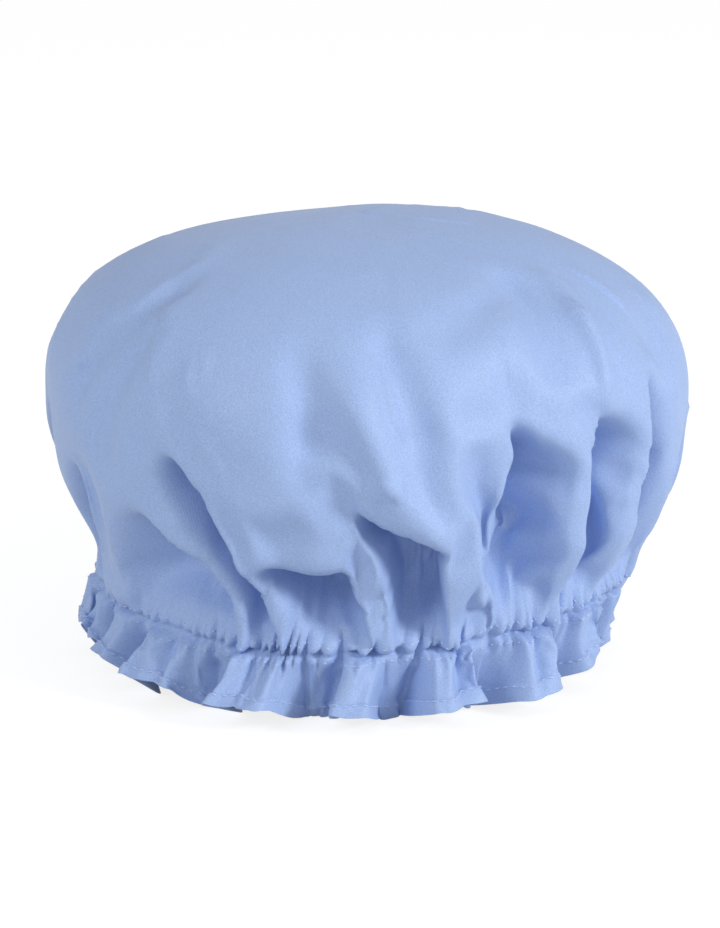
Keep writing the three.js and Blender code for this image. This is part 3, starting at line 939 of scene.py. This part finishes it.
def stitches(path, normal, length, gap, diameter, sink):
    """Vertices and faces of a row of stitches along a closed path. Each is a short round tube of five
    rings of six, thickest in its middle, that rises out of the cloth along the normal and dips back into
    it. Sink is how deep its ends lie, in diameters."""
    closed = np.concatenate([path, path[:1]])
    along = np.concatenate([[0], np.cumsum(np.linalg.norm(np.diff(closed, axis=0), axis=1))])
    count = int(along[-1] / (length + gap))
    pitch = along[-1] / count
    rings, sides = 5, 6
    part = np.linspace(0, 1, rings)
    place = np.arange(count)[:, None] * pitch + part * (pitch - gap)

    def walk(values):
        values = np.append(values, values[:1], axis=0)
        return np.stack([np.interp(place, along, values[:, axis]) for axis in range(3)], -1)

    centre, up = walk(path), walk(normal)
    up = up / np.linalg.norm(up, axis=-1, keepdims=True)
    ahead = np.gradient(centre, axis=1)
    ahead = ahead / np.linalg.norm(ahead, axis=-1, keepdims=True)
    side = np.cross(ahead, up)
    arch = np.sin(np.pi * part)
    centre = centre + up * (diameter * (0.9 * arch - sink))[None, :, None]
    angle = np.arange(sides) / sides * 2 * np.pi
    thick = diameter / 2 * (0.35 + 0.65 * np.sqrt(arch))
    ring = np.cos(angle)[:, None] * side[:, :, None] + np.sin(angle)[:, None] * up[:, :, None]
    vertices = centre[:, :, None] + ring * thick[None, :, None, None]
    index = np.arange(count * rings * sides).reshape(count, rings, sides)
    over = np.roll(index, -1, axis=2)
    quads = np.stack([index[:, :-1], index[:, 1:], over[:, 1:], over[:, :-1]], -1).reshape(-1, 4)
    ends = np.concatenate([index[:, 0, :], index[:, -1, ::-1]])
    return vertices.reshape(-1, 3), quads.tolist() + ends.tolist()


def elastic_strip(sizes):
    """Vertices and faces of the elastic: a flat section with ribs on each face, carried round one turn and
    a lap. Its inner end steps in behind the other over the length of the lap."""
    outer = ELASTIC_HIGH.x
    lap = ELASTIC_LAP / outer
    turn = np.linspace(np.pi - lap / 2, 3 * np.pi + lap / 2, TAPE_COLUMNS)
    radius = outer - ELASTIC_LAP_STEP * smooth((turn - (turn[-1] - 2 * lap)) / lap)
    across = np.linspace(-1, 1, 29)
    edge = np.clip((1 - np.abs(across)) / 0.12, 0, 1)
    ribs = 1 - 0.16 * np.cos(ELASTIC_RIBS * np.pi * across)
    half = ELASTIC_THICKNESS / 2 * np.sqrt(edge * (2 - edge)) * ribs
    middle = -ELASTIC_THICKNESS / 2
    depth = np.concatenate([middle + half, (middle - half)[-2:0:-1]])
    level = np.concatenate([across, across[-2:0:-1]]) * ELASTIC_WIDTH / 2
    ring = radius[:, None] + depth[None]
    height = sizes.gather_height + gather_rise(turn)[:, None] + level[None]
    points = ring_points(ring, turn[:, None], height)
    rows, columns = points.shape[:2]
    index = np.arange(rows * columns).reshape(rows, columns)
    over = np.roll(index, -1, axis=1)
    quads = np.stack([index[:-1], over[:-1], over[1:], index[1:]], -1).reshape(-1, 4)
    ends = [index[0, ::-1].tolist(), index[-1].tolist()]
    return points.reshape(-1, 3), quads.tolist() + ends


def casing_tape(sizes):
    """Points of the casing tape, rows from its upper edge down. Its edges lie against the cloth, and
    between them it stands in over the elastic on a flat arch. Small ruches run across it."""
    across = np.linspace(0, 1, 15)[:, None]
    round_ = bearings(TAPE_COLUMNS)
    arch = np.sin(np.pi * across) ** 0.35
    random = np.random.default_rng(SEED + 4)
    phase = TAPE_RUCHES * round_ / (2 * np.pi)
    for order in (4, 7, 11):
        phase = phase + random.uniform(0.5, 1.0) * np.cos(order * round_ + random.uniform(0, 6))
    ruche = 0.5 * MM * (np.abs(np.sin(np.pi * phase)) - 0.5) * np.sin(np.pi * across) ** 0.3
    edge = sizes.gather_radius - TAPE_INSET + TAPE_FLARE * np.clip(1 - 2 * across, 0, 1)
    radius = edge + (CASING_INNER + 0.5 * MM - edge) * arch - ruche
    height = sizes.gather_height + gather_rise(round_) + CASING_WIDTH * (0.5 - across)
    return ring_points(radius, round_, height)


class Nodes:
    """Short calls for adding shader nodes to one material."""

    def __init__(self, name):
        self.material = bpy.data.materials.new(name)
        self.material.use_nodes = True
        self.tree = self.material.node_tree
        self.shader = self.tree.nodes["Principled BSDF"]

    def add(self, kind, inputs=None, **settings):
        """A new node. An input is a value or the socket that feeds it."""
        node = self.tree.nodes.new(kind)
        for key, value in settings.items():
            setattr(node, key, value)
        for key, value in (inputs or {}).items():
            if isinstance(value, bpy.types.NodeSocket):
                self.tree.links.new(value, node.inputs[key])
            else:
                node.inputs[key].default_value = value
        return node

    def place(self):
        """Coordinates of the object."""
        return self.add("ShaderNodeTexCoord").outputs["Object"]

    def noise(self, **inputs):
        """A noise over the object, from 0 to 1."""
        return self.add("ShaderNodeTexNoise", {"Vector": self.place(), **inputs}).outputs["Fac"]

    def ramp(self, value, low, high, dark, light):
        """A colour that goes from dark to light as the value goes from low to high."""
        node = self.add("ShaderNodeValToRGB", {"Fac": value})
        first, last = node.color_ramp.elements
        first.position, last.position = low, high
        first.color, last.color = (*dark, 1), (*light, 1)
        return node.outputs["Color"]

    def finish(self, links, **values):
        """The material, after the shader's sockets are linked or set."""
        for socket, value in links.items():
            self.tree.links.new(value, self.shader.inputs[socket])
        for socket, value in values.items():
            self.shader.inputs[socket.replace("_", " ")].default_value = value
        return self.material


def tone(colour, factor):
    """A colour made lighter or darker."""
    return tuple(min(1.0, factor * part) for part in colour)


def cloth_material(colours):
    """Satin-faced microfibre: a fine weave across the cut disc, a grain of brighter threads and a soft
    sheen."""
    nodes = Nodes("satin_cloth")
    uv = nodes.add("ShaderNodeUVMap", uv_map="Cloth").outputs["UV"]
    grain = nodes.noise(Scale=1800.0, Detail=1.0, Roughness=0.6)
    speck = nodes.ramp(grain, 0.3, 0.7, tone(colours.cloth, 0.9), tone(colours.cloth, 1.1))
    bands = {"Vector": uv, "Scale": 560.0, "Distortion": 1.0, "Detail": 1.0}
    warp = nodes.add("ShaderNodeTexWave", bands, bands_direction="X").outputs["Fac"]
    weft = nodes.add("ShaderNodeTexWave", bands, bands_direction="Y").outputs["Fac"]
    weave = nodes.add("ShaderNodeMath", {0: warp, 1: weft}, operation="MULTIPLY").outputs[0]
    rough = nodes.add("ShaderNodeMath", {0: weave, 1: grain}, operation="ADD").outputs[0]
    bump = nodes.add("ShaderNodeBump", {"Height": rough, "Strength": 0.25, "Distance": 0.0002})
    return nodes.finish(
        {"Base Color": speck, "Normal": bump.outputs["Normal"]},
        Roughness=0.5, Specular_IOR_Level=0.3, Sheen_Weight=0.08, Sheen_Roughness=0.4,
    )


def grained_material(name, colour, roughness, scale, strength):
    """One colour with a fine grain in its tone and its bump."""
    nodes = Nodes(name)
    grain = nodes.noise(Scale=scale, Detail=2.0)
    speck = nodes.ramp(grain, 0.3, 0.7, tone(colour, 0.9), tone(colour, 1.08))
    bump = nodes.add("ShaderNodeBump", {"Height": grain, "Strength": strength, "Distance": 0.0002})
    return nodes.finish({"Base Color": speck, "Normal": bump.outputs["Normal"]}, Roughness=roughness)


def elastic_material(colour):
    """Braided elastic: a herringbone of fine yarns that crosses each rib, in the tone and in the bump."""
    nodes = Nodes("braided_elastic")
    bands = {"Vector": nodes.place(), "Scale": 320.0, "Distortion": 2.0, "Detail": 1.0}
    yarn = nodes.add("ShaderNodeTexWave", bands, bands_direction="DIAGONAL").outputs["Fac"]
    shade = nodes.ramp(yarn, 0.1, 0.7, tone(colour, 0.8), colour)
    bump = nodes.add("ShaderNodeBump", {"Height": yarn, "Strength": 0.5, "Distance": 0.0003})
    return nodes.finish({"Base Color": shade, "Normal": bump.outputs["Normal"]}, Roughness=0.75)


class CAP_OT_outer_cloth(bpy.types.Operator):
    """Make the outer cloth, one sheet from the middle of the crown to the hem that is turned up inside"""

    bl_idname = "cap.outer_cloth"
    bl_label = "Outer Cloth"

    def execute(self, context):
        sizes = context.scene.cap_sizes
        surface = OuterCloth(sizes)
        surface.settle(context)
        OuterCloth.latest = surface
        depth, hem = sizes.frill_depth, sizes.hem_depth
        points, flats, blocks = [], [], []

        def take(block, flat):
            points.append(block.reshape(-1, 3))
            flats.append(disc_points(flat[:, None], bearings(block.shape[1])).reshape(-1, 2))
            blocks.append(block.shape[:2])

        for rows, columns in crown_blocks(surface.reach, CROWN_ROWS, COLUMNS):
            take(surface.points(columns, rows), surface.reach - rows)
        upper = np.linspace(0, depth - hem, 17)[1:-1]
        lower = depth - hem + np.array(HEM_ROWS) * MM
        drop = np.concatenate([upper, lower, [depth]])
        frill = surface.points(COLUMNS, -drop)
        take(frill, surface.reach + drop)
        turned_up = drop[::-1][1:7]
        inside = (frill - HEM_FOLD * outward(frill))[::-1][1:7]
        take(inside, surface.reach + 2 * depth - turned_up)
        vertices = np.concatenate([*points, surface.grid[0, :1]])
        uv = np.concatenate([*flats, np.zeros((1, 2))])
        mesh = make_mesh("outer_cloth", vertices, ring_faces(blocks, tip=True), uv)
        material = cloth_material(context.scene.cap_colours)
        piece = add_piece(context, mesh, material, ("crown_cloth", "frill_cloth"))
        return {"FINISHED"}


class CAP_OT_lining(bpy.types.Operator):
    """Make the waterproof film inside the crown"""

    bl_idname = "cap.lining"
    bl_label = "Lining"

    def execute(self, context):
        surface = OuterCloth.latest
        if surface is None:
            raise RuntimeError("The outer cloth comes before its lining")
        random = np.random.default_rng(SEED + 3)
        rows = graded((3.5, 30, 100, surface.reach / MM), LINING_ROWS)[:, None]
        round_ = bearings(LINING_COLUMNS)
        from_top = surface.reach - rows
        crinkle = np.clip(waves(random, round_, from_top, 14, (0.02, 0.06)) / 2, -1, 1)
        cells = cubic(surface.inner_depth(), rows[:, 0] / CELL_LENGTH - 0.5)
        depth = cubic_round(cells, LINING_COLUMNS)
        inset = LINING_INSET + LINING_INSET_LOW * np.exp(-rows / (12 * MM)) + LINING_CRINKLE * (1 + crinkle)
        points = surface.plain(round_ + np.radians(180 / CELL_COUNT), rows, -depth - inset)
        top = surface.grid[0, :1] - [[0, 0, 1.5 * MM]]
        uv = disc_points(from_top, round_).reshape(-1, 2)
        mesh = make_mesh(
            "waterproof_film", np.concatenate([points.reshape(-1, 3), top]),
            ring_faces([points.shape[:2]], tip=True), np.concatenate([uv, np.zeros((1, 2))]),
        )
        colour = context.scene.cap_colours.lining
        material = grained_material("frosted_film", colour, 0.4, 400.0, 0.15)
        piece = add_piece(context, mesh, material, ("waterproof_lining",))
        return {"FINISHED"}


class CAP_OT_elastic(bpy.types.Operator):
    """Make the braided elastic, with its lapped ends at the back"""

    bl_idname = "cap.elastic"
    bl_label = "Elastic"

    def execute(self, context):
        sizes, colours = context.scene.cap_sizes, context.scene.cap_colours
        mesh = make_mesh("braided_elastic", *elastic_strip(sizes))
        add_piece(context, mesh, elastic_material(colours.elastic), ("elastic_band",))
        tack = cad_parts["elastic_join_tack"]
        thread = grained_material("tacking_thread", colours.thread, 0.6, 1500.0, 0.3)
        tack.data.materials.clear()
        tack.data.materials.append(thread)
        return {"FINISHED"}


class CAP_OT_casing(bpy.types.Operator):
    """Make the casing tape that the elastic runs in"""

    bl_idname = "cap.casing"
    bl_label = "Casing"

    def execute(self, context):
        points = casing_tape(context.scene.cap_sizes)
        mesh = make_mesh("casing_tape", points.reshape(-1, 3), ring_faces([points.shape[:2]]))
        material = grained_material("woven_tape", context.scene.cap_colours.tape, 0.8, 900.0, 0.3)
        piece = add_piece(context, mesh, material, ("elastic_casing",))
        return {"FINISHED"}


class CAP_OT_sewing(bpy.types.Operator):
    """Make the stitches of the hem and of the casing"""

    bl_idname = "cap.sewing"
    bl_label = "Sewing"

    def execute(self, context):
        sizes, colours = context.scene.cap_sizes, context.scene.cap_colours
        surface = OuterCloth.latest
        if surface is None:
            raise RuntimeError("The outer cloth comes before its sewing")
        material = grained_material("sewing_thread", colours.thread, 0.6, 1500.0, 0.3)
        near = np.array([0.4, 0, -0.4]) * MM
        columns = 4 * COLUMNS
        hem = sizes.frill_depth - sizes.hem_depth + HEM_SEAM
        rows = {
            "hem_stitches": (-hem, 2.6, 1.0, 0.35, "hem_seam"),
            "lower_casing_stitches": (-CASING_SEAM, 1.8, 1.4, 0.6, "lower_casing_seam"),
            "upper_casing_stitches": (CASING_SEAM, 1.8, 1.4, 0.6, "upper_casing_seam"),
        }
        for name, (level, length, gap, sink, node) in rows.items():
            grid = surface.points(columns, near + level)
            normal, diameter = outward(grid)[1], sizes.thread_diameter
            vertices, faces = stitches(grid[1], normal, length * MM, gap * MM, diameter, sink)
            add_piece(context, make_mesh(name, vertices, faces), material, (node,))
        return {"FINISHED"}


def aim(thing, place, target):
    """Put a lamp or a camera at a place and turn its -Z towards a target, with +Y up."""
    thing.location = place
    thing.rotation_euler = (Vector(target) - Vector(place)).to_track_quat("-Z", "Y").to_euler()


class CAP_OT_stage(bpy.types.Operator):
    """Make the floor, the light and the camera"""

    bl_idname = "cap.stage"
    bl_label = "Stage"

    def execute(self, context):
        scene = context.scene
        scene.view_settings.view_transform = "Standard"
        corners = FLOOR_HALF * np.array([(-1, -1, 0), (1, -1, 0), (1, 1, 0), (-1, 1, 0)], float)
        floor = bpy.data.objects.new("floor", make_mesh("floor", corners, [(0, 1, 2, 3)]))
        scene.collection.objects.link(floor)
        nodes = Nodes("floor_paper")
        ray = nodes.add("ShaderNodeLightPath").outputs
        seen = ray["Is Camera Ray"]
        for other in ("Is Glossy Ray", "Is Transmission Ray"):
            seen = nodes.add("ShaderNodeMath", {0: seen, 1: ray[other]}, operation="MAXIMUM").outputs[0]
        glow = nodes.add("ShaderNodeEmission", {"Color": (1, 1, 1, 1), "Strength": FLOOR_GLOW})
        paper = nodes.add("ShaderNodeBsdfDiffuse", {"Color": (FLOOR_GREY, FLOOR_GREY, FLOOR_GREY, 1)})
        white = nodes.add("ShaderNodeAddShader", {0: glow.outputs[0], 1: paper.outputs[0]})
        mix = nodes.add("ShaderNodeMixShader", {0: seen, 1: nodes.shader.outputs[0], 2: white.outputs[0]})
        nodes.tree.links.new(mix.outputs[0], nodes.tree.nodes["Material Output"].inputs["Surface"])
        floor.data.materials.append(nodes.finish({}, Base_Color=(*scene.cap_colours.floor, 1), Roughness=0.9))

        world = bpy.data.worlds.new("studio")
        scene.world = world
        world.use_nodes = True
        background = world.node_tree.nodes["Background"].inputs
        background["Color"].default_value = (1, 1, 1, 1)
        background["Strength"].default_value = WORLD_STRENGTH

        for name, (place, size, power) in LAMPS.items():
            lamp = bpy.data.lights.new(name, "AREA")
            lamp.size = size
            lamp.energy = power
            light = bpy.data.objects.new(name, lamp)
            scene.collection.objects.link(light)
            aim(light, place, LAMP_TARGET)

        lens = bpy.data.cameras.new("camera")
        lens.lens = CAMERA_LENS
        camera = bpy.data.objects.new("camera", lens)
        scene.collection.objects.link(camera)
        elevation = math.radians(CAMERA_ELEVATION)
        back, up = CAMERA_DISTANCE * math.cos(elevation), CAMERA_DISTANCE * math.sin(elevation)
        aim(camera, (CAMERA_TARGET[0], -back, CAMERA_TARGET[2] + up), CAMERA_TARGET)
        scene.camera = camera
        return {"FINISHED"}


class CAP_PT_panel(bpy.types.Panel):
    """Lists the cap's pieces in the sidebar"""

    bl_label = "Shower Cap"
    bl_idname = "CAP_PT_panel"
    bl_space_type = "VIEW_3D"
    bl_region_type = "UI"
    bl_category = "Shower Cap"

    def draw(self, context):
        for operator in OPERATORS:
            self.layout.operator(operator.bl_idname)


OPERATORS = (
    CAP_OT_outer_cloth, CAP_OT_lining, CAP_OT_elastic, CAP_OT_casing, CAP_OT_sewing, CAP_OT_stage
)
CLASSES = (CapSizes, CapColours, *OPERATORS, CAP_PT_panel)


def register():
    for each in CLASSES:
        bpy.utils.register_class(each)
    bpy.types.Scene.cap_sizes = PointerProperty(type=CapSizes)
    bpy.types.Scene.cap_colours = PointerProperty(type=CapColours)


def unregister():
    del bpy.types.Scene.cap_sizes
    del bpy.types.Scene.cap_colours
    for each in reversed(CLASSES):
        bpy.utils.unregister_class(each)


def main():
    register()
    bpy.ops.cap.outer_cloth()
    bpy.ops.cap.lining()
    bpy.ops.cap.elastic()
    bpy.ops.cap.casing()
    bpy.ops.cap.sewing()
    bpy.ops.cap.stage()


if __name__ == "__main__":
    main()
